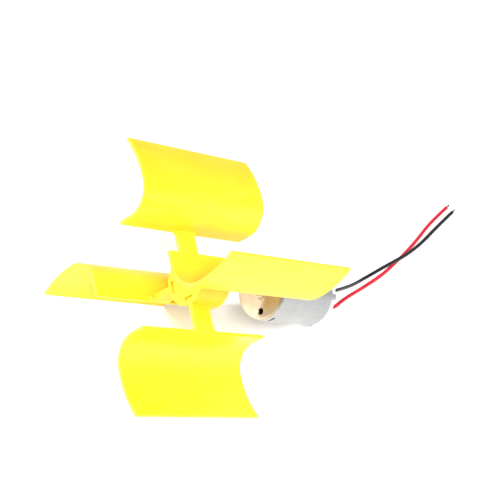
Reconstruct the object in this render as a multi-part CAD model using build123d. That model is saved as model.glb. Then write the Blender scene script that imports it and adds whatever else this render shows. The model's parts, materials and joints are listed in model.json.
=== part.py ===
"""Small brushed dc motor with a four-paddle wheel on its shaft, one STEP per piece.

Local frame: Z is the spin axis, +Z out of the motor's front face, Z = 0 on that face.
Every piece is drawn in the local frame and then put in the resting pose on the table:
the wheel stands on two blade corners and the motor leans back on its rear flange.
"""
import math
import os

from build123d import *

os.makedirs("parts", exist_ok=True)

# ---- motor -----------------------------------------------------------------
CAN_R = 12.2            # round can, Ø24.4
CAN_LEN = 28.4
CAN_WALL = 0.8
FACE_T = 1.0            # front face sheet
CAN_EDGE = 1.3          # drawn corner radius
BOSS_R, BOSS_H, BOSS_ROUND = 3.6, 1.6, 0.5
BUSH_R, BUSH_CHAMFER = 2.5, 0.2
FRONT_BUSH_END, REAR_BUSH_END = -2.4, -28.6       # inner ends of the two bushes
HOLE_D, HOLE_PCD, HOLE_ANG = 2.5, 17.0, -49.4     # two tapped mounting holes
HOLE_LIP = 0.3
VENT_W, VENT_H, VENT_Z, VENT_ANG = 3.4, 1.5, -2.6, -32.4
TAB_ARC, TAB_LAG = 11.0, 18.0   # tabs folded back over the end cap, degrees
CAP_R = 11.9            # end cap flange
CAP_T = 2.4
CAP_CHAMFER = 0.3
PLUG_LEN, PLUG_WALL = 4.0, 1.2
CAP_BOSS_R, CAP_BOSS_H, CAP_SEAT, CAP_BORE_R = 4.0, 2.0, 1.2, 1.4
CAP_WELL_R, CAP_WELL = 9.6, 0.4                   # shallow well inside the cap
CAP_VENT_IN, CAP_VENT_OUT, CAP_VENT_W = 5.2, 8.8, 2.4
TERM_ANG, TERM_R = 52.0, 7.5
TERM_W, TERM_T, TERM_OUT, TERM_IN = 2.8, 0.5, 4.4, 3.4
EYE_R, EYE_BACK = 0.55, 1.4                       # hole near the end of each terminal
JAW_IN, JAW_OUT, JAW_W, JAW_H = 1.6, 1.4, 4.2, 3.0     # plastic jaws each side of a terminal
LEAF_LOW, LEAF_HIGH, LEAF_T = 0.8, 3.2, 0.3
BRUSH_LOW, BRUSH_HIGH, BRUSH_OUT, BRUSH_W, BRUSH_GAP = 1.0, 3.0, 4.2, 1.8, 0.03
MAG_IN_R, MAG_LEN, MAG_ARC = 8.9, 17.0, 125.0
MAG_Z = -14.0           # middle of magnets and core
CLIP_T, CLIP_SHORT = 0.5, 1.5
# ---- rotor -----------------------------------------------------------------
SHAFT_R = 1.0
SHAFT_FRONT, SHAFT_REAR, SHAFT_CHAMFER = 39.4, -32.3, 0.2
RUN_GAP = 0.02          # running clearance in the bushes, on the radius
CORE_R, CORE_LEN, POLES = 8.4, 14.0, 3
POLE_W, SHOE_T, SHOE_ARC, CORE_HUB_R = 3.0, 1.2, 100.0, 2.6
INSUL_T, INSUL_BACK = 0.5, 0.1
COIL_W, COIL_IN, COIL_OUT, COIL_ROUND = 2.0, 3.3, 6.1, 1.8
COMM_R, COMM_BASE_R, COMM_LEN = 2.7, 2.2, 6.5
COMM_RIM_R, COMM_RIM_TOP, COMM_RIM_END = 3.2, 1.0, 1.5
SEG_ARC, SEG_END = 110.0, 6.2
RING_R, RING_TOP, RING_END = 4.8, 2.2, 3.0        # varistor ring
SPACER_R, WASHER_R, WASHER_T, SPACER_END = 1.8, 2.2, 0.5, -3.0
# ---- wheel -----------------------------------------------------------------
BLADES = 4
BLADE_LEN = 60.0        # along the axis
BLADE_T = 1.2
ROOT_R = 19.8           # blade edge nearest the axis
BEND_R = 10.2           # tight bend next to that edge
FLAT = 4.5              # straight stretch before the bend
TIP_R, TIP_B = 47.8, 10.4   # outer edge: along the arm, and to the hollow side
TIP_ROUND = 0.35
ARM_W, ARM_T = 8.5, 1.8
HEAD_IN, HEAD_OUT, HEAD_W = 5.9, 7.5, 4.4          # T-shaped root of each arm
HEAD_RECESS = 1.0                                  # head below the hub's front face
WEB_LEN, WEB_WIDER, WEB_CHAMFER = 1.6, 2.4, 1.1
HUB_FRONT_R, HUB_REAR_R = 9.1, 9.7
HUB_ROUND_FRONT, HUB_ROUND_REAR = 0.5, 1.4
HUB_LEAD_R, HUB_LEAD = 2.2, 1.0                    # countersink round the shaft
POCKET_OUT, POCKET_IN, POCKET_DEEP, RIB_W = 7.9, 3.4, 5.0, 1.4
HUB_FRONT, HUB_REAR = 4.5, -10.2                   # from the arm's mid-plane
WHEEL_Z = 35.4          # arm mid-plane, from the motor face
# ---- leads -----------------------------------------------------------------
WIRE_D = 1.5
STRAND_D, STRAND_LEN = 0.9, 2.5
SOLDER_R, SOLDER_CUT = 1.4, 1.1
OVER = 1.0              # how far a cutter runs past the surface it cuts
SINK = 0.2              # how far an added boss starts inside its sheet

# ---- resting pose ----------------------------------------------------------
RUN, DROP = TIP_R - ROOT_R - BEND_R, FLAT + BEND_R - TIP_B
SWEEP_R = (RUN * RUN + DROP * DROP) / (2 * DROP)    # long curve out to the tip
SWEEP_ANG = math.degrees(math.asin(RUN / SWEEP_R))
SKIN, END = BLADE_T / 2 - 0.1 * TIP_ROUND, 0.15 * TIP_ROUND     # where the rounded edge touches
SA = math.radians(SWEEP_ANG)
CORNER_X = TIP_R + SKIN * math.sin(SA) + END * math.cos(SA)
CORNER_Y = TIP_B + SKIN * math.cos(SA) - END * math.sin(SA)
CORNER_R = math.hypot(CORNER_X, CORNER_Y)
REST_ANG = 45 + math.degrees(math.atan2(CORNER_Y, CORNER_X))
CORNER_DROP = CORNER_R * math.cos(math.radians(45))
CAN_REAR = -CAN_LEN - CAP_T
BLADE_REAR = WHEEL_Z - BLADE_LEN / 2
TILT = math.degrees(math.atan2(CORNER_DROP - CAP_R, BLADE_REAR - CAN_REAR - CAP_CHAMFER))
CT, ST = math.cos(math.radians(TILT)), math.sin(math.radians(TILT))
FACE_H = CORNER_DROP * CT - BLADE_REAR * ST       # height of the local origin


def polar(r, ang, z=0.0):
    return (r * math.cos(math.radians(ang)), r * math.sin(math.radians(ang)), z)


def tube(r_out, r_in, z0, z1):
    """Ring or disc between two heights."""
    mid, height = (z0 + z1) / 2, abs(z1 - z0)
    body = Pos(0, 0, mid) * Cylinder(r_out, height)
    if r_in > 0:
        body -= Pos(0, 0, mid) * Cylinder(r_in, height + 2 * OVER)
    return body


def sector(r_out, r_in, mid, arc, z0, z1):
    """Ring segment centred on the angle mid."""
    n = 8
    far = 1.4 * r_out
    pts = [(0, 0)] + [polar(far, mid - arc / 2 + arc * i / n)[:2] for i in range(n + 1)]
    wedge = Pos(0, 0, min(z0, z1)) * extrude(make_face(Polyline(*pts, close=True)), abs(z1 - z0))
    return tube(r_out, r_in, z0, z1) & wedge


def bar(r0, r1, width, z0, z1, ang):
    """Block lying along a radius."""
    box = Pos((r0 + r1) / 2, 0, (z0 + z1) / 2) * Box(r1 - r0, width, abs(z1 - z0))
    return Rot(0, 0, ang) * box


# ---- can and end cap ---------------------------------------------------------
def make_can():
    body = tube(CAN_R, 0, 0, -CAN_LEN)
    body = fillet(body.edges().group_by(Axis.Z)[-1], CAN_EDGE)
    body -= tube(CAN_R - CAN_WALL, 0, -FACE_T, -CAN_LEN - OVER)
    boss = tube(BOSS_R, 0, -SINK, BOSS_H)
    boss = fillet(boss.edges().group_by(Axis.Z)[-1], BOSS_ROUND)
    body += boss
    body -= tube(BUSH_R, 0, -FACE_T - OVER, BOSS_H + OVER)
    for k in range(2):
        x, y, _ = polar(HOLE_PCD / 2, HOLE_ANG + 180 * k)
        body -= Pos(x, y, -FACE_T / 2) * Cylinder(HOLE_D / 2, FACE_T + OVER)
        body -= Pos(x, y, -HOLE_LIP / 2) * Cone(HOLE_D / 2, HOLE_D / 2 + HOLE_LIP, HOLE_LIP)
        slot = Box(CAN_R / 2, VENT_W, VENT_H)
        slot = fillet(slot.edges().filter_by(Axis.X), VENT_H * 0.45)
        body -= Rot(0, 0, VENT_ANG + 180 * k) * Pos(CAN_R, 0, VENT_Z) * slot
    for k in range(4):                             # tabs folded back over the end cap
        mid = TERM_ANG - TAB_LAG + 90 * k
        body += sector(CAN_R, CAP_R, mid, TAB_ARC, -CAN_LEN, CAN_REAR + CAP_CHAMFER)
    return body


def make_cap():
    flange = tube(CAP_R, 0, -CAN_LEN, CAN_REAR)
    flange = chamfer(flange.edges().group_by(Axis.Z)[0], CAP_CHAMFER)
    plug = tube(CAN_R - CAN_WALL, CAN_R - CAN_WALL - PLUG_WALL, -CAN_LEN + PLUG_LEN, -CAN_LEN)
    boss = tube(CAP_BOSS_R, 0, CAN_REAR + SINK, CAN_REAR - CAP_BOSS_H)
    boss = fillet(boss.edges().group_by(Axis.Z)[0], BOSS_ROUND)
    body = flange + plug + boss
    body -= tube(CAP_WELL_R, 0, -CAN_LEN + OVER, -CAN_LEN - CAP_WELL)
    floor = -CAN_LEN - CAP_WELL - SINK
    for k in range(2):
        a = TERM_ANG + 180 * k
        lo, hi = TERM_R - TERM_T / 2, TERM_R + TERM_T / 2
        body += bar(TERM_R - JAW_IN, lo, JAW_W, floor, -CAN_LEN + JAW_H, a)
        body += bar(hi, TERM_R + JAW_OUT, JAW_W, floor, -CAN_LEN + JAW_H, a)
        body -= bar(lo, hi, TERM_W, CAN_REAR - OVER, -CAN_LEN + JAW_H + OVER, a)
        body -= bar(CAP_VENT_IN, CAP_VENT_OUT, CAP_VENT_W, CAN_REAR - OVER, -CAN_LEN + OVER, a + 90)
    body -= tube(BUSH_R, 0, -CAN_LEN + OVER, CAN_REAR - CAP_SEAT)
    body -= tube(CAP_BORE_R, 0, CAN_REAR, CAN_REAR - CAP_BOSS_H - OVER)
    return body


def bush(z0, z1):
    body = tube(BUSH_R, SHAFT_R + RUN_GAP, z0, z1)
    return chamfer(body.edges().filter_by(GeomType.CIRCLE).sort_by(SortBy.RADIUS)[-2:], BUSH_CHAMFER)


def make_terminal(k):
    a = TERM_ANG + 180 * k
    tab = bar(TERM_R - TERM_T / 2, TERM_R + TERM_T / 2, TERM_W,
              CAN_REAR - TERM_OUT, -CAN_LEN + TERM_IN, a)
    eye = Rot(0, 90, 0) * Cylinder(EYE_R, TERM_T + 2 * OVER)
    return tab - Rot(0, 0, a) * Pos(TERM_R, 0, CAN_REAR - TERM_OUT + EYE_BACK) * eye


def make_brush_arm(k):
    """Leaf spring: folded strip from the terminal to the brush."""
    back, front = TERM_R - JAW_IN - LEAF_T / 2, BRUSH_OUT + LEAF_T / 2
    line = Polyline((back, -1.6), (back, 2.6), (front + 0.2, 3.4), (front, 1.0), (front, -1.1))
    strip = extrude(Plane.XY * trace(line, LEAF_T), LEAF_HIGH - LEAF_LOW)
    return Rot(0, 0, TERM_ANG + 180 * k) * Pos(0, 0, -CAN_LEN + LEAF_LOW) * strip


def make_brush(k):
    low, high = -CAN_LEN + BRUSH_LOW, -CAN_LEN + BRUSH_HIGH
    block = bar(COMM_R + BRUSH_GAP, BRUSH_OUT, BRUSH_W, low, high, TERM_ANG + 180 * k)
    return block - tube(COMM_R + BRUSH_GAP, 0, low - OVER, high + OVER)


# ---- rotor -------------------------------------------------------------------
def core_profile(z0, z1, r_out):
    body = tube(CORE_HUB_R, SHAFT_R, z0, z1)
    for k in range(POLES):
        a = 360 / POLES * k + 90
        body += bar(CORE_HUB_R - SINK, r_out - SINK, POLE_W, z0, z1, a) & tube(r_out, 0, z0, z1)
        body += sector(r_out, r_out - SHOE_T, a, SHOE_ARC, z0, z1)
    return body


def make_coil(k):
    """Winding round one pole, with rounded end turns."""
    h = CORE_LEN + 2 * INSUL_T
    depth = COIL_OUT - COIL_IN
    ring = Box(depth, POLE_W + 2 * COIL_W, h + 2 * COIL_W)
    ring = fillet(ring.edges().filter_by(Axis.X), COIL_ROUND)
    ring -= Box(depth + OVER, POLE_W, h)
    return Rot(0, 0, 360 / POLES * k + 90) * Pos((COIL_IN + COIL_OUT) / 2, 0, MAG_Z) * ring


# ---- wheel -------------------------------------------------------------------
def blade_section():
    """Hooked paddle section; x along the arm, -y to the hollow side."""
    h = BLADE_T / 2
    c1 = (ROOT_R + BEND_R, -FLAT)
    depth = FLAT + BEND_R
    r2, phi = SWEEP_R, SWEEP_ANG
    c2 = (c1[0], -(depth - r2))

    def side(s):
        r1, rr = BEND_R + s * h, r2 + s * h
        a = (ROOT_R - s * h, ARM_T / 2)
        b = (ROOT_R - s * h, -FLAT)
        q = math.radians(45)
        bm = (c1[0] - r1 * math.cos(q), c1[1] - r1 * math.sin(q))
        c = (c1[0], c1[1] - r1)
        pm, pe = math.radians(phi / 2), math.radians(phi)
        cm = (c2[0] + rr * math.sin(pm), c2[1] - rr * math.cos(pm))
        d = (c2[0] + rr * math.sin(pe), c2[1] - rr * math.cos(pe))
        return a, [Line(a, b), ThreePointArc(b, bm, c), ThreePointArc(c, cm, d)], d

    a0, out, d0 = side(1)
    a1, inn, d1 = side(-1)
    return make_face(Wire(out + [Line(d0, d1)] + inn + [Line(a1, a0)]))


def make_blade(k):
    shell = Pos(0, 0, WHEEL_Z - BLADE_LEN / 2) * extrude(blade_section(), BLADE_LEN)
    shell = fillet(shell.edges().filter_by(Axis.Z).sort_by(Axis.X)[-2:], TIP_ROUND)
    arm = Pos((HEAD_OUT + ROOT_R) / 2, 0, WHEEL_Z) * Box(ROOT_R - HEAD_OUT, ARM_T, ARM_W)
    arm += Pos((HEAD_IN + HEAD_OUT) / 2, 0, WHEEL_Z) * Box(HEAD_OUT - HEAD_IN, HEAD_W, ARM_W)
    head_top = WHEEL_Z + HUB_FRONT - HEAD_RECESS
    arm -= Pos(0, 0, head_top + ARM_W / 2) * Box(2 * HEAD_OUT, HEAD_W + OVER, ARM_W)
    web = Pos(ROOT_R - WEB_LEN / 2, 0, WHEEL_Z) * Box(WEB_LEN, ARM_T, ARM_W + WEB_WIDER)
    web = chamfer(web.edges().filter_by(Axis.Y).group_by(Axis.X)[0], WEB_CHAMFER)
    body = shell + arm + web
    return Rot(0, 0, REST_ANG + 360 / BLADES * k) * body


def make_hub():
    zf, zr = WHEEL_Z + HUB_FRONT, WHEEL_Z + HUB_REAR
    prof = make_face(Polyline(
        (SHAFT_R, zr), (HUB_REAR_R, zr), (HUB_FRONT_R, zf), (HUB_LEAD_R, zf),
        (HUB_LEAD_R, zf - HUB_LEAD), (SHAFT_R, zf - HUB_LEAD), close=True))
    body = revolve(Plane.XZ * prof, Axis.Z)
    rims = body.edges().filter_by(GeomType.CIRCLE).sort_by(SortBy.RADIUS)[-2:]
    body = fillet(rims.sort_by(Axis.Z)[-1], HUB_ROUND_FRONT)
    rear_rim = body.edges().filter_by(GeomType.CIRCLE).group_by(Axis.Z)[0].sort_by(SortBy.RADIUS)[-1]
    body = fillet(rear_rim, HUB_ROUND_REAR)
    pocket = tube(POCKET_OUT, POCKET_IN, zr - OVER, zr + POCKET_DEEP)
    z0 = WHEEL_Z - ARM_W / 2
    for k in range(BLADES):
        a = REST_ANG + 360 / BLADES * k
        pocket -= bar(0, POCKET_OUT + OVER, RIB_W, zr - 2 * OVER, zr + POCKET_DEEP + OVER, a + 45)
        body -= bar(HEAD_IN, HEAD_OUT, HEAD_W, z0, zf + OVER, a)
        body -= bar(HEAD_OUT, HUB_REAR_R + OVER, ARM_T, z0, zf + OVER, a)
    return body - pocket


# ---- build in the local frame --------------------------------------------------
local = {}
local["motor_can"] = make_can()
local["end_cap"] = make_cap()
local["front_bush"] = bush(BOSS_H, FRONT_BUSH_END)
local["rear_bush"] = bush(REAR_BUSH_END, CAN_REAR - CAP_SEAT)
for k, tag in enumerate("ab"):
    mid = TERM_ANG + 90 + 180 * k
    zz = (MAG_Z - MAG_LEN / 2, MAG_Z + MAG_LEN / 2)
    local["magnet_" + tag] = sector(CAN_R - CAN_WALL, MAG_IN_R, mid, MAG_ARC, *zz)
    local["magnet_clip_" + tag] = sector(
        CAN_R - CAN_WALL, CAN_R - CAN_WALL - CLIP_T, mid + 90, 180 - MAG_ARC,
        zz[0] + CLIP_SHORT, zz[1] - CLIP_SHORT)
    local["terminal_" + tag] = make_terminal(k)
    local["brush_arm_" + tag] = make_brush_arm(k)
    local["brush_" + tag] = make_brush(k)

shaft = tube(SHAFT_R, 0, SHAFT_REAR, SHAFT_FRONT)
local["shaft"] = chamfer(shaft.edges().filter_by(GeomType.CIRCLE), SHAFT_CHAMFER)
core_top, core_bot = MAG_Z + CORE_LEN / 2, MAG_Z - CORE_LEN / 2
local["rotor_core"] = core_profile(core_bot, core_top, CORE_R)
local["insulator_front"] = core_profile(core_top, core_top + INSUL_T, CORE_R - INSUL_BACK)
local["insulator_rear"] = core_profile(core_bot - INSUL_T, core_bot, CORE_R - INSUL_BACK)
for k in range(POLES):
    local["coil_%d" % (k + 1)] = make_coil(k)
comm_top = core_bot - INSUL_T
local["commutator_base"] = tube(COMM_BASE_R, SHAFT_R, comm_top, comm_top - COMM_LEN) + tube(
    COMM_RIM_R, SHAFT_R, comm_top - COMM_RIM_TOP, comm_top - COMM_RIM_END)
for k in range(POLES):
    local["commutator_segment_%d" % (k + 1)] = sector(
        COMM_R, COMM_BASE_R, 30 + 360 / POLES * k, SEG_ARC, comm_top - COMM_RIM_END, comm_top - SEG_END)
local["varistor_ring"] = tube(RING_R, COMM_R, comm_top - RING_TOP, comm_top - RING_END)
local["front_spacer"] = tube(SPACER_R, SHAFT_R, core_top + INSUL_T, SPACER_END)
local["thrust_washer_front"] = tube(WASHER_R, SHAFT_R, SPACER_END, SPACER_END + WASHER_T)
local["thrust_washer_rear"] = tube(WASHER_R, SHAFT_R, comm_top - COMM_LEN, comm_top - COMM_LEN - WASHER_T)
local["hub"] = make_hub()
for k in range(BLADES):
    local["blade_%d" % (k + 1)] = make_blade(k)

# ---- put it on the table -------------------------------------------------------
rest = Location((0, 0, FACE_H), (90 - TILT, 0, 0))
world = {n: rest * s for n, s in local.items()}
box = Compound(children=[Compound(s.wrapped) for s in world.values()]).bounding_box()
DX, DY, DZ = -(box.min.X + box.max.X) / 2, -(box.min.Y + box.max.Y) / 2, -box.min.Z
shift = Location((DX, DY, DZ))
world = {n: shift * s for n, s in world.items()}
place = shift * rest
low = {n: s.bounding_box().min.Z for n, s in world.items()}
print("lowest", {n: round(z, 3) for n, z in low.items() if z < 1})
print("tilt %.3f rest %.3f face height %.3f shift %.3f %.3f %.4f" % (TILT, REST_ANG, FACE_H, DX, DY, DZ))


# ---- leads ---------------------------------------------------------------------
def to_world(p):
    v = (place * Location(p)).position
    return (v.X, v.Y, v.Z)


AXIS_Y = to_world((0, 0, WHEEL_Z))[1]      # wheel centre, for laying out the leads
LIE = WIRE_D / 2


def lead(points, name, k):
    """Round lead through the points, bent with tangent arcs; returns the wire and its end piece."""
    tip = to_world(polar(TERM_R - TERM_T / 2 - WIRE_D / 2 - 0.15, TERM_ANG + 180 * k,
                         CAN_REAR - TERM_OUT + EYE_BACK))
    first = Vector(*points[0])
    d0 = (first - Vector(*tip)).normalized()
    start = Vector(*tip) + d0 * SOLDER_CUT
    pts = [start] + [Vector(*p) for p in points]
    radii = []
    for a, b, c in zip(pts, pts[1:], pts[2:]):
        u, v = b - a, c - b
        turn = u.get_angle(v)
        radii.append(0.45 * min(u.length, v.length) / math.tan(math.radians(turn / 2)))
    path = FilletPolyline(*pts, radius=radii)
    wire = sweep(Plane(origin=start, z_dir=d0) * Circle(WIRE_D / 2), path=path)
    want = math.pi * WIRE_D ** 2 / 4 * path.length
    print(name, "length %.1f" % path.length, "radii", [round(r, 1) for r in radii],
          "runs", [round((b - a).length, 1) for a, b in zip(pts, pts[1:])],
          "volume ratio %.4f" % (wire.volume / want))
    print("   points", [tuple(round(c, 3) for c in p) for p in pts])
    last = (pts[-1] - pts[-2]).normalized()
    strand = extrude(Plane(origin=pts[-1], z_dir=last) * Circle(STRAND_D / 2), STRAND_LEN)
    blob = Sphere(SOLDER_R) - Pos(0, 0, SOLDER_CUT + 2) * Box(8, 8, 4)
    world["solder_" + name] = Plane(origin=tip, z_dir=d0) * blob
    world["wire_" + name] = wire
    world["strand_" + name] = strand


def lay(rows):
    """Lead waypoints given from the wheel centre, on or above the table."""
    return [(DX + x, AXIS_Y + y, LIE + h) for x, y, h in rows]


lead(lay([(0.8, 73.0, 5.6), (-4.2, 85.5, 0.3), (-4.8, 96.8, 1.3), (-5.2, 107.4, 1.8),
          (-8.5, 119.2, 0.7), (-13.9, 131.8, 0.0), (-18.2, 144.4, 0.0)]), "black", 0)
lead(lay([(3.9, 62.1, 0.1), (1.0, 71.2, 0.0), (-0.3, 82.0, 0.0), (-2.2, 93.5, 0.0),
          (-6.4, 106.0, 0.0), (-11.5, 118.8, 0.0), (-17.9, 131.6, 0.0), (-22.0, 144.2, 0.0)]), "red", 1)

for name, shape in world.items():
    solids = shape.solids()
    export_step(Compound(children=list(solids)) if len(solids) > 1 else solids[0], "parts/%s.step" % name)
print(len(world), "pieces")
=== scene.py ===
import json
import math
import random

import bpy
from mathutils import Matrix, Vector, noise


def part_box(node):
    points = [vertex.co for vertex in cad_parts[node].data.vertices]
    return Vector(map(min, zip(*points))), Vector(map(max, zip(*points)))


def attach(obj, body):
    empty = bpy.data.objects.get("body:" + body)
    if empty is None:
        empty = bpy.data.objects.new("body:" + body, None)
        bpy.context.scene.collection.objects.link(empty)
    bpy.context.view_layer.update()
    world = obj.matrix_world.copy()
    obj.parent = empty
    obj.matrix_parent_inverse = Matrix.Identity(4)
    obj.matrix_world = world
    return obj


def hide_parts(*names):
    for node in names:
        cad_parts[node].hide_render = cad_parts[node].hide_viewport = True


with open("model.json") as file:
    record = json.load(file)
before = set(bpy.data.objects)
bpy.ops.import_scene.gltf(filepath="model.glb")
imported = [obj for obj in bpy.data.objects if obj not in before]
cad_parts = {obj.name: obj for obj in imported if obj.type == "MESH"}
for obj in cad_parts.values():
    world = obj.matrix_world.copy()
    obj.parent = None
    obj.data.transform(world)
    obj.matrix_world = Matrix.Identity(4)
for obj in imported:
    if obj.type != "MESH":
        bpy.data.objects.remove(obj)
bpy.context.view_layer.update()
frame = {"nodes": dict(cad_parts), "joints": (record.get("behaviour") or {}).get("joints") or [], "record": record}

MM = 0.001
scene = bpy.context.scene
nodes = frame["nodes"]
slot_of = {part["node"]: part["material_slot"] for part in frame["record"]["subparts"]}
spin = frame["joints"][0]
AXIS = Vector(spin["axis"]).normalized()
WHEEL = Vector(spin["pos_m"])
random.seed(7)


# ---- camera ------------------------------------------------------------------
def make_camera():
    data = bpy.data.cameras.new("camera")
    data.lens = 92.907
    data.sensor_width = 36.0
    data.clip_start, data.clip_end = 0.01, 20.0
    camera = bpy.data.objects.new("camera", data)
    camera.location = (0.288513, -0.185117, 0.374578)
    camera.rotation_euler = (0.8226, -0.0338, 0.9957)
    scene.collection.objects.link(camera)
    scene.camera = camera


make_camera()


# ---- frames along the spin axis ------------------------------------------------
def axis_frame(name, body):
    """Empty whose local Z is the spin axis, so a texture can follow the turned and drawn parts."""
    empty = bpy.data.objects.new(name, None)
    empty.matrix_world = Matrix.Translation(WHEEL) @ AXIS.to_track_quat("Z", "Y").to_matrix().to_4x4()
    scene.collection.objects.link(empty)
    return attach(empty, body)


STATOR_AXIS = axis_frame("stator_axis", "stator")
ROTOR_AXIS = axis_frame("rotor_axis", "rotor")


def along_axis(node):
    """Lowest and highest place of a CAD node along the spin axis, from the wheel's middle."""
    places = [(v.co - WHEEL).dot(AXIS) for v in nodes[node].data.vertices]
    return min(places), max(places)


# ---- shader building -----------------------------------------------------------
WAVE_PITCH = 0.314        # spacing of the wave texture's bands at scale 1


class Finish:
    """One procedural material, put together node by node."""

    def __init__(self, name, color, rough, metal=0.0):
        self.mat = bpy.data.materials.new(name)
        self.mat.use_nodes = True
        self.tree = self.mat.node_tree
        self.shader = self.tree.nodes["Principled BSDF"]
        self.shader.inputs["Base Color"].default_value = (*color, 1)
        self.shader.inputs["Roughness"].default_value = rough
        self.shader.inputs["Metallic"].default_value = metal
        self.normal = None

    def add(self, kind, **settings):
        node = self.tree.nodes.new(kind)
        for key, value in settings.items():
            setattr(node, key, value)
        return node

    def feed(self, socket, value):
        if isinstance(value, bpy.types.NodeSocket):
            self.tree.links.new(value, socket)
        else:
            socket.default_value = value

    def place(self, scale=(1, 1, 1), around=None):
        """Object coordinates, or those of an axis frame, stretched by scale."""
        source = self.add("ShaderNodeTexCoord", object=around)
        mapping = self.add("ShaderNodeMapping")
        self.feed(mapping.inputs["Vector"], source.outputs["Object"])
        mapping.inputs["Scale"].default_value = scale
        return mapping.outputs["Vector"]

    def noise(self, size, vector=None, detail=3.0, rough=0.55, twist=0.0):
        """Noise whose grains are about size metres across."""
        node = self.add("ShaderNodeTexNoise")
        self.feed(node.inputs["Vector"], vector or self.place())
        node.inputs["Scale"].default_value = 1 / size
        node.inputs["Detail"].default_value = detail
        node.inputs["Roughness"].default_value = rough
        node.inputs["Distortion"].default_value = twist
        return node.outputs["Fac"]

    def cells(self, size):
        node = self.add("ShaderNodeTexVoronoi")
        self.feed(node.inputs["Vector"], self.place())
        node.inputs["Scale"].default_value = 1 / size
        return node.outputs["Distance"]

    def rings(self, pitch, vector, wobble=0.0):
        """Bands across the spin axis, pitch metres apart."""
        node = self.add("ShaderNodeTexWave", wave_type="BANDS", bands_direction="Z")
        self.feed(node.inputs["Vector"], vector)
        node.inputs["Scale"].default_value = WAVE_PITCH / pitch
        node.inputs["Distortion"].default_value = wobble
        node.inputs["Detail"].default_value = 1.0
        return node.outputs["Fac"]

    def sum(self, kind, a, b):
        node = self.add("ShaderNodeMath", operation=kind)
        self.feed(node.inputs[0], a)
        self.feed(node.inputs[1], b)
        return node.outputs[0]

    def band(self, value, low, high, to_low=0.0, to_high=1.0):
        node = self.add("ShaderNodeMapRange", interpolation_type="SMOOTHSTEP")
        for socket, number in zip(node.inputs[:5], (value, low, high, to_low, to_high)):
            self.feed(socket, number)
        return node.outputs["Result"]

    def mix(self, share, a, b):
        node = self.add("ShaderNodeMix", data_type="RGBA")
        self.feed(node.inputs["Factor"], share)
        self.feed(node.inputs[6], a if isinstance(a, bpy.types.NodeSocket) else (*a, 1))
        self.feed(node.inputs[7], b if isinstance(b, bpy.types.NodeSocket) else (*b, 1))
        return node.outputs[2]

    def edges(self, radius):
        """1 where an edge within radius turns the surface, 0 on the flats."""
        bevel = self.add("ShaderNodeBevel", samples=4)
        bevel.inputs["Radius"].default_value = radius
        geometry = self.add("ShaderNodeNewGeometry")
        dot = self.add("ShaderNodeVectorMath", operation="DOT_PRODUCT")
        self.feed(dot.inputs[0], bevel.outputs["Normal"])
        self.feed(dot.inputs[1], geometry.outputs["Normal"])
        return self.band(dot.outputs["Value"], 0.995, 0.80)

    def separate(self, vector):
        node = self.add("ShaderNodeSeparateXYZ")
        self.feed(node.inputs[0], vector)
        return node.outputs

    def bump(self, height, depth, strength=1.0):
        node = self.add("ShaderNodeBump")
        node.inputs["Distance"].default_value = depth
        node.inputs["Strength"].default_value = strength
        self.feed(node.inputs["Height"], height)
        if self.normal:
            self.feed(node.inputs["Normal"], self.normal)
        self.normal = node.outputs["Normal"]
        self.feed(self.shader.inputs["Normal"], self.normal)

    def paint(self, color):
        self.feed(self.shader.inputs["Base Color"], color)

    def roughen(self, value, low, high):
        self.feed(self.shader.inputs["Roughness"], self.band(value, 0.25, 0.75, low, high))


def shade(color, by):
    return tuple(min(1.0, c * by) for c in color)


# ---- materials -------------------------------------------------------------------
def can_steel():
    """Satin plated drawn steel: a pressed face, and a wall with draw lines."""
    steel = (0.49, 0.505, 0.505)
    f = Finish("can_steel", steel, 0.3, 1.0)
    local = f.place(around=STATOR_AXIS)
    z = f.separate(local)[2]
    face = FACE_AT - 0.35 * MM
    on_face = f.band(z, face, face + 0.2 * MM)
    draw = f.noise(0.5 * MM, f.place((1, 1, 0.03), STATOR_AXIS), 4)
    cloud = f.noise(7 * MM, f.place(), 3, twist=0.4)
    grain = f.noise(0.12 * MM, f.place(), 2)
    smudge = f.noise(3.5 * MM, f.place((1, 1, 0.5), STATOR_AXIS), 4, 0.65, 0.8)
    worn_edge_highlight = f.edges(0.25 * MM)
    color = f.mix(f.band(cloud, 0.35, 0.7), shade(steel, 0.93), shade(steel, 1.04))
    color = f.mix(f.band(smudge, 0.58, 0.72, 0, 0.35), color, shade(steel, 0.78))
    # The face is tinted warm: a painted reflection of the yellow paddles, not a colour of the plating.
    color = f.mix(f.sum("MULTIPLY", on_face, 0.75), color, (0.72, 0.65, 0.51))
    # Edges painted lighter: partly worn plating, partly a painted highlight.
    color = f.mix(f.sum("MULTIPLY", worn_edge_highlight, 0.5), color, (0.86, 0.86, 0.85))
    f.paint(color)
    wall = f.sum("ADD", f.band(draw, 0.3, 0.7, 0.36, 0.47), f.band(cloud, 0.3, 0.7, -0.03, 0.05))
    plate = f.band(smudge, 0.3, 0.75, 0.31, 0.38)
    both = f.add("ShaderNodeMix", data_type="FLOAT")
    for socket, value in zip(both.inputs[:1] + both.inputs[2:4], (on_face, wall, plate)):
        f.feed(socket, value)
    f.feed(f.shader.inputs["Roughness"], both.outputs[0])
    f.bump(f.sum("MULTIPLY", draw, f.band(z, face, face + 0.2 * MM, 1, 0)), 0.012 * MM, 0.5)
    f.bump(f.noise(5 * MM, f.place(), 1), 0.04 * MM, 0.4)
    f.bump(grain, 0.003 * MM, 0.4)
    return f.mat


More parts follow.
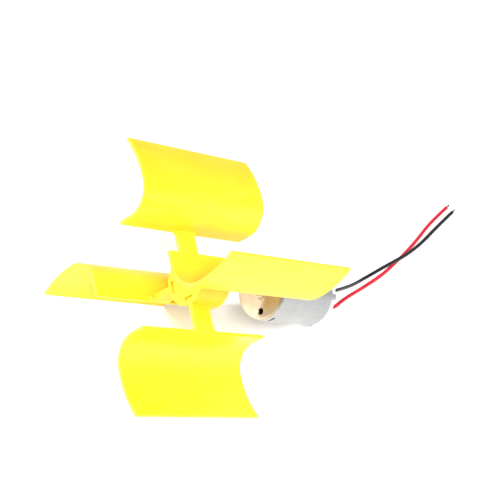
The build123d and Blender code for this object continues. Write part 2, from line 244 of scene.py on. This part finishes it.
def yellow_abs():
    """Glossy injection-moulded plastic, a little translucent, with flow marks and rims painted lighter: partly
    wear, partly a painted highlight.
    """
    yellow = (1.0, 0.70, 0.02)
    f = Finish("yellow_abs", yellow, 0.34)
    f.shader.inputs["IOR"].default_value = 1.52
    f.shader.inputs["Subsurface Weight"].default_value = 0.12
    f.shader.inputs["Subsurface Radius"].default_value = (1.0, 0.55, 0.08)
    f.shader.inputs["Subsurface Scale"].default_value = 0.9 * MM
    f.shader.inputs["Subsurface Anisotropy"].default_value = 0.2
    flow = f.noise(9 * MM, f.place((1, 1, 0.35), ROTOR_AXIS), 3, 0.5, 1.2)
    peel = f.noise(0.9 * MM, f.place(), 2)
    fine = f.noise(0.16 * MM, f.place(), 2)
    scuff = f.noise(2.6 * MM, f.place((1, 1, 0.12), ROTOR_AXIS), 5, 0.7)
    color = f.mix(f.band(flow, 0.3, 0.7), (1.0, 0.675, 0.014), (1.0, 0.725, 0.030))
    color = f.mix(f.band(scuff, 0.64, 0.78, 0, 0.2), color, (1.0, 0.82, 0.10))
    # Edges painted lighter: partly wear, partly a painted highlight.
    color = f.mix(f.sum("MULTIPLY", f.edges(0.22 * MM), 0.35), color, (1.0, 0.86, 0.16))
    f.paint(color)
    f.roughen(f.sum("ADD", scuff, f.sum("MULTIPLY", fine, 0.2)), 0.27, 0.45)
    f.bump(peel, 0.02 * MM, 0.35)
    f.bump(fine, 0.004 * MM, 0.5)
    f.bump(f.band(scuff, 0.6, 0.8), 0.006 * MM, 0.4)
    return f.mat


def plastic(name, color, rough, mottle=0.06, peel=0.5, glow=0.0):
    """Moulded thermoplastic with orange peel, faint mottling and corners painted lighter: partly polish, partly a
    painted highlight.
    """
    f = Finish(name, color, rough)
    if glow:
        f.shader.inputs["Subsurface Weight"].default_value = glow
        f.shader.inputs["Subsurface Radius"].default_value = (1.0, 0.9, 0.75)
        f.shader.inputs["Subsurface Scale"].default_value = 1.0 * MM
    cloud = f.noise(3 * MM, f.place(), 4, 0.6, 0.5)
    skin = f.noise(peel * MM, f.place(), 2)
    fine = f.noise(0.1 * MM, f.place(), 2)
    paint = f.mix(f.band(cloud, 0.3, 0.7), shade(color, 1 - mottle), shade(color, 1 + mottle))
    # Edges painted lighter: partly polish, partly a painted highlight.
    f.paint(f.mix(f.sum("MULTIPLY", f.edges(0.15 * MM), 0.3), paint, shade(color, 1.25)))
    f.roughen(cloud, rough - 0.06, rough + 0.08)
    f.bump(skin, 0.015 * MM, 0.4)
    f.bump(fine, 0.003 * MM, 0.5)
    return f.mat


def turned(name, color, rough, around, pitch=0.09):
    """Metal turned or ground about the spin axis, with fine tool marks."""
    f = Finish(name, color, rough, 1.0)
    marks = f.rings(pitch * MM, f.place(around=around), 1.5)
    streak = f.noise(0.25 * MM, f.place((0.2, 0.2, 6), around), 3)
    cloud = f.noise(2 * MM, f.place(), 4, 0.65)
    paint = f.mix(f.band(cloud, 0.35, 0.7), shade(color, 0.88), shade(color, 1.05))
    # Edges painted lighter: partly wear, partly a painted highlight.
    f.paint(f.mix(f.sum("MULTIPLY", f.edges(0.12 * MM), 0.5), paint, shade(color, 1.2)))
    f.roughen(f.sum("MULTIPLY", f.sum("ADD", cloud, streak), 0.5), rough - 0.05, rough + 0.12)
    f.bump(f.sum("ADD", marks, streak), 0.004 * MM, 0.5)
    return f.mat


def stamped(name, color, rough, tarnish, grain=(1, 8, 1)):
    """Rolled and stamped sheet: rolling grain, tarnish and edges painted bright: partly bare cut metal, partly a
    painted highlight.
    """
    f = Finish(name, color, rough, 1.0)
    roll = f.noise(0.3 * MM, f.place(grain), 4)
    stain = f.noise(1.6 * MM, f.place(), 5, 0.65, 0.6)
    paint = f.mix(f.band(roll, 0.3, 0.7), shade(color, 0.92), shade(color, 1.05))
    paint = f.mix(f.band(stain, 0.5, 0.72, 0, 0.6), paint, tarnish)
    # Edges painted lighter: partly bare cut metal, partly a painted highlight.
    f.paint(f.mix(f.sum("MULTIPLY", f.edges(0.1 * MM), 0.6), paint, shade(color, 1.2)))
    f.roughen(stain, rough - 0.06, rough + 0.16)
    f.bump(roll, 0.004 * MM, 0.5)
    f.bump(stain, 0.01 * MM, 0.25)
    return f.mat


def porous(name, color, rough, metal, pore, dark):
    """Pressed or sintered powder with open pores, a rubbed skin, and edges painted lighter: partly rubbed, partly
    a painted highlight.
    """
    f = Finish(name, color, rough, metal)
    pores = f.cells(pore * MM)
    grit = f.noise(pore * 0.5 * MM, f.place(), 3)
    cloud = f.noise(2.2 * MM, f.place(), 4)
    holes = f.band(pores, 0.12, 0.34)
    paint = f.mix(holes, dark, f.mix(f.band(cloud, 0.3, 0.7), shade(color, 0.85), shade(color, 1.12)))
    # Edges painted lighter: partly rubbed, partly a painted highlight.
    f.paint(f.mix(f.sum("MULTIPLY", f.edges(0.15 * MM), 0.4), paint, shade(color, 1.5)))
    f.roughen(f.sum("ADD", grit, f.sum("MULTIPLY", cloud, 0.2)), rough - 0.1, rough + 0.12)
    f.bump(holes, 0.02 * MM, 0.5)
    f.bump(grit, 0.012 * MM, 0.6)
    return f.mat


def lamination():
    """Stack of blued silicon-steel sheets, 0.5 mm thick, seen edge on."""
    steel = (0.42, 0.43, 0.45)
    f = Finish("lamination", steel, 0.42, 1.0)
    local = f.place(around=ROTOR_AXIS)
    sheets = f.rings(0.5 * MM, local)
    rust = f.noise(1.1 * MM, f.place(), 5, 0.7, 0.4)
    color = f.mix(f.band(sheets, 0.1, 0.45), (0.10, 0.10, 0.12), steel)
    color = f.mix(f.band(rust, 0.6, 0.76, 0, 0.5), color, (0.22, 0.13, 0.08))
    # Edges painted lighter: partly wear, partly a painted highlight.
    f.paint(f.mix(f.sum("MULTIPLY", f.edges(0.1 * MM), 0.4), color, (0.7, 0.7, 0.72)))
    f.roughen(rust, 0.34, 0.58)
    f.bump(f.band(sheets, 0.05, 0.4), 0.05 * MM, 0.7)
    f.bump(f.noise(0.2 * MM, f.place(), 2), 0.008 * MM, 0.5)
    return f.mat


def enamelled_copper():
    """Varnished winding wire, amber lacquer over copper."""
    copper = (0.66, 0.23, 0.08)
    f = Finish("enamelled_copper", copper, 0.28, 0.85)
    f.shader.inputs["Coat Weight"].default_value = 0.8
    f.shader.inputs["Coat Roughness"].default_value = 0.14
    tone = f.noise(0.8 * MM, f.place(), 4, 0.6)
    drip = f.noise(2.4 * MM, f.place(), 3, 0.5, 1.0)
    color = f.mix(f.band(tone, 0.3, 0.7), (0.52, 0.15, 0.05), (0.78, 0.30, 0.11))
    f.paint(f.mix(f.band(drip, 0.55, 0.75, 0, 0.45), color, (0.34, 0.09, 0.03)))
    f.roughen(tone, 0.2, 0.38)
    f.bump(f.noise(0.3 * MM, f.place(), 3), 0.012 * MM, 0.6)
    return f.mat


def solder_metal():
    """Dull tin-lead with frosty grain and a trace of flux."""
    tin = (0.68, 0.69, 0.71)
    f = Finish("solder", tin, 0.3, 1.0)
    frost = f.noise(0.22 * MM, f.place(), 5, 0.65)
    flux = f.noise(1.0 * MM, f.place(), 3, 0.5, 0.8)
    color = f.mix(f.band(frost, 0.3, 0.7), shade(tin, 0.8), shade(tin, 1.1))
    f.paint(f.mix(f.band(flux, 0.58, 0.74, 0, 0.5), color, (0.42, 0.30, 0.14)))
    f.roughen(frost, 0.22, 0.46)
    f.bump(frost, 0.02 * MM, 0.5)
    return f.mat


def lead_pvc(name, color, gloss, dust):
    """Extruded PVC sleeve: long die lines, dust and a slightly waxy skin."""
    f = Finish(name, color, gloss)
    f.shader.inputs["Specular IOR Level"].default_value = 0.55
    f.shader.inputs["Sheen Weight"].default_value = 0.08
    f.shader.inputs["Sheen Roughness"].default_value = 0.5
    die = f.noise(0.28 * MM, f.place((1, 0.08, 1)), 3)
    specks = f.noise(0.5 * MM, f.place(), 5, 0.7)
    color_a = f.mix(f.band(die, 0.3, 0.7), shade(color, 0.88), shade(color, 1.12))
    f.paint(f.mix(f.band(specks, 0.62, 0.78, 0, 0.3), color_a, dust))
    f.roughen(specks, gloss - 0.06, gloss + 0.12)
    f.bump(die, 0.012 * MM, 0.5)
    f.bump(f.noise(0.12 * MM, f.place(), 2), 0.004 * MM, 0.5)
    return f.mat


def make_materials():
    return {
        "can_steel": can_steel(),
        "yellow_abs": yellow_abs(),
        "lamination": lamination(),
        "enamelled_copper": enamelled_copper(),
        "solder": solder_metal(),
        "wire_black": lead_pvc("wire_black", (0.010, 0.008, 0.011), 0.30, (0.05, 0.045, 0.05)),
        "wire_red": lead_pvc("wire_red", (0.52, 0.010, 0.026), 0.36, (0.62, 0.11, 0.13)),
        "cap_nylon": plastic("cap_nylon", (0.86, 0.86, 0.83), 0.42, 0.03, 0.6, 0.15),
        "nylon_washer": plastic("nylon_washer", (0.78, 0.75, 0.66), 0.45, 0.05, 0.4, 0.15),
        "phenolic": plastic("phenolic", (0.16, 0.055, 0.025), 0.36, 0.2, 0.3),
        "insulator": plastic("insulator", (0.50, 0.08, 0.05), 0.5, 0.12, 0.3),
        "varistor": porous("varistor", (0.20, 0.19, 0.18), 0.6, 0.0, 0.12, (0.05, 0.05, 0.05)),
        "ferrite": porous("ferrite", (0.075, 0.075, 0.08), 0.58, 0.1, 0.35, (0.02, 0.02, 0.022)),
        "carbon": porous("carbon", (0.05, 0.045, 0.042), 0.5, 0.3, 0.10, (0.012, 0.011, 0.01)),
        "sintered_bronze": porous(
            "sintered_bronze", (0.62, 0.42, 0.20), 0.4, 1.0, 0.16, (0.16, 0.09, 0.04)),
        "shaft_steel": turned("shaft_steel", (0.72, 0.73, 0.74), 0.18, ROTOR_AXIS, 0.06),
        "spacer_brass": turned("spacer_brass", (0.80, 0.60, 0.26), 0.26, ROTOR_AXIS, 0.12),
        "bare_copper": turned("bare_copper", (0.80, 0.40, 0.22), 0.26, ROTOR_AXIS, 0.08),
        "spring_steel": stamped("spring_steel", (0.36, 0.37, 0.40), 0.34, (0.16, 0.11, 0.08)),
        "tinned_brass": stamped("tinned_brass", (0.74, 0.73, 0.68), 0.3, (0.55, 0.42, 0.20)),
        "leaf_bronze": stamped("leaf_bronze", (0.76, 0.50, 0.24), 0.3, (0.34, 0.17, 0.08)),
        "tinned_copper": stamped("tinned_copper", (0.72, 0.70, 0.66), 0.3, (0.58, 0.34, 0.18)),
    }


BOSS_H = 1.6 * MM
FACE_AT = along_axis("front_bush")[1] - BOSS_H       # the can's front face, behind its boss
materials = make_materials()


# ---- pieces ------------------------------------------------------------------------
def finish_piece(piece, slot, body, *stands_for):
    piece.data.materials.clear()
    piece.data.materials.append(materials[slot])
    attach(piece, body)
    if stands_for:
        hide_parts(*stands_for)
    return piece


def mesh_piece(name, verts, faces):
    mesh = bpy.data.meshes.new(name)
    mesh.from_pydata([tuple(v) for v in verts], [], faces)
    mesh.validate()
    mesh.polygons.foreach_set("use_smooth", [True] * len(mesh.polygons))
    piece = bpy.data.objects.new(name, mesh)
    scene.collection.objects.link(piece)
    return piece


def add_tube(verts, faces, line, radius, sides=10):
    """Adds a closed round tube along the line; radius is a number or one for each point."""
    first = len(verts)
    side = None
    for i, point in enumerate(line):
        ahead = (line[min(i + 1, len(line) - 1)] - line[max(i - 1, 0)]).normalized()
        side = (side or ahead.orthogonal()) - ahead * ahead.dot(side or ahead.orthogonal())
        side.normalize()
        up = ahead.cross(side)
        r = radius[i] if isinstance(radius, list) else radius
        for k in range(sides):
            a = 2 * math.pi * k / sides
            verts.append(point + (side * math.cos(a) + up * math.sin(a)) * r)
    for i in range(len(line) - 1):
        for k in range(sides):
            a, b = first + i * sides + k, first + i * sides + (k + 1) % sides
            faces.append((a, b, b + sides, a + sides))
    last = first + (len(line) - 1) * sides
    faces.append(tuple(reversed(range(first, first + sides))))
    faces.append(tuple(range(last, last + sides)))


# ---- leads ---------------------------------------------------------------------------
WIRE_D = 1.5 * MM
STRAND_LEN = 2.5 * MM
SOLDER_BACK, SOLDER_R = 1.1 * MM, 1.36 * MM    # middle of the blob behind the wire's start, and its size
BLACK_ROUTE = [
    (0.003662, 0.052367, 0.01199), (0.0008, 0.063428, 0.00635), (-0.0042, 0.075928, 0.00105),
    (-0.0048, 0.087228, 0.00205), (-0.0052, 0.097828, 0.00255), (-0.0085, 0.109628, 0.00145),
    (-0.0139, 0.122228, 0.00075), (-0.0182, 0.134828, 0.00075)]
RED_ROUTE = [
    (-0.003103, 0.046689, 0.003718), (0.0039, 0.052528, 0.00085), (0.001, 0.061628, 0.00075),
    (-0.0003, 0.072428, 0.00075), (-0.0022, 0.083928, 0.00075), (-0.0064, 0.096428, 0.00075),
    (-0.0115, 0.109228, 0.00075), (-0.0179, 0.122028, 0.00075), (-0.022, 0.134628, 0.00075)]


def lead_curve(name, route):
    data = bpy.data.curves.new(name, "CURVE")
    data.dimensions = "3D"
    spline = data.splines.new("NURBS")
    spline.points.add(len(route) - 1)
    for point, place in zip(spline.points, route):
        point.co = (*place, 1)
    spline.order_u = 3
    spline.use_endpoint_u = True
    data.resolution_u = 24
    data.bevel_depth = WIRE_D / 2
    data.bevel_resolution = 6
    data.use_fill_caps = True
    piece = bpy.data.objects.new(name, data)
    scene.collection.objects.link(piece)
    return piece


def strand_bundle(name, route):
    """Seven tinned strands twisted together, a little splayed where they were cut."""
    end = Vector(route[-1])
    ahead = (end - Vector(route[-2])).normalized()
    side = ahead.cross(Vector((0, 0, 1))).normalized()
    up = side.cross(ahead)
    strand_r, lay_r, steps = 0.135 * MM, 0.275 * MM, 14
    verts, faces = [], []
    for k in range(7):
        spread = random.uniform(0.7, 1.25)
        reach = STRAND_LEN * random.uniform(0.90, 1.0)
        line = []
        for i in range(steps):
            t = i / (steps - 1)
            a = 2 * math.pi * k / 6 + 1.5 * t
            r = 0.0 if k == 6 else lay_r * (1 + 0.22 * t * t * spread)
            line.append(end + ahead * ((t - 0.12) * reach) + (side * math.cos(a) + up * math.sin(a)) * r)
        add_tube(verts, faces, line, strand_r, 8)
    return mesh_piece(name, verts, faces)


def solder_blob(name, node, wire_start, toward):
    """Lumpy fillet of solder, drawn out along the wire and settled round the tab."""
    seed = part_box(node)[0] * 900                 # a different lumpiness for each joint
    start, ahead = Vector(wire_start), toward.normalized()
    middle = start - ahead * SOLDER_BACK
    side = ahead.orthogonal().normalized()
    up = ahead.cross(side)
    rings, sides = 22, 28
    verts, faces = [], []
    for i in range(rings + 1):
        t = math.pi * i / rings
        back = -math.cos(t)                      # -1 behind the tab, +1 along the wire
        pull = 0.30 * max(0.0, back) ** 2
        for k in range(sides):
            a = 2 * math.pi * k / sides
            flat = side * math.cos(a) + up * math.sin(a)
            place = ahead * back * (1 + pull) + flat * math.sin(t) * (1 - 0.55 * pull)
            lump = 1 + 0.10 * noise.noise(place * 2.1 + seed) - 0.05
            verts.append(middle + place * SOLDER_R * min(lump, 1.0) * 0.97)
    for i in range(rings):
        for k in range(sides):
            a, b = i * sides + k, i * sides + (k + 1) % sides
            faces.append((a, b, b + sides, a + sides))
    return mesh_piece(name, verts, faces)


def make_leads():
    for tag, route, length in (("black", BLACK_ROUTE, 0.0882), ("red", RED_ROUTE, 0.0950)):
        lead = lead_curve("lead_" + tag, route)
        finish_piece(lead, "wire_" + tag, "stator", "wire_" + tag)
        tips = strand_bundle("strands_" + tag, route)
        finish_piece(tips, "tinned_copper", "stator", "strand_" + tag)
        blob = solder_blob("joint_" + tag, "solder_" + tag, route[0], Vector(route[1]) - Vector(route[0]))
        finish_piece(blob, "solder", "stator", "solder_" + tag)


make_leads()


# ---- CAD nodes: materials ----------------------------------------------------------------
def dress_nodes():
    for name, node in nodes.items():
        if node.hide_render:
            continue
        node.data.materials.clear()
        node.data.materials.append(materials[slot_of[name]])


dress_nodes()


# ---- table and light -----------------------------------------------------------------------
LIT = Vector((0, 0.02, 0.02))         # what both lamps point at
TABLE_GLOW = 0.32                      # backlit table, so that shadows stay faint


def make_floor():
    bpy.ops.mesh.primitive_plane_add(size=6)
    floor = bpy.context.object
    floor.name = "floor"
    f = Finish("floor_paper", (0.72, 0.72, 0.72), 0.75)
    f.shader.inputs["Emission Color"].default_value = (1, 1, 1, 1)
    f.shader.inputs["Emission Strength"].default_value = TABLE_GLOW
    fibre = f.noise(0.6 * MM, f.place(), 3)
    f.paint(f.mix(fibre, (0.71, 0.71, 0.71), (0.73, 0.73, 0.73)))
    f.bump(fibre, 0.01 * MM, 0.3)
    floor.data.materials.append(f.mat)


def area_light(name, place, size, power):
    data = bpy.data.lights.new(name, "AREA")
    data.shape = "DISK"
    data.size = size
    data.energy = power
    lamp = bpy.data.objects.new(name, data)
    lamp.location = place
    lamp.rotation_euler = (LIT - Vector(place)).to_track_quat("-Z", "Y").to_euler()
    scene.collection.objects.link(lamp)


SKY, RIGHT_W, LEFT_W = 0.18, 86.0, 66.0         # strength of the sky, and watts


def make_light():
    world = bpy.data.worlds.new("studio")
    world.use_nodes = True
    background = world.node_tree.nodes["Background"]
    background.inputs["Color"].default_value = (1.0, 1.0, 1.0, 1)
    background.inputs["Strength"].default_value = SKY
    scene.world = world
    area_light("right", (1.35, -0.35, 1.95), 1.2, RIGHT_W)
    area_light("left", (-1.06, -1.74, 1.26), 0.34, LEFT_W)
    scene.view_settings.view_transform = "Standard"


make_floor()
make_light()
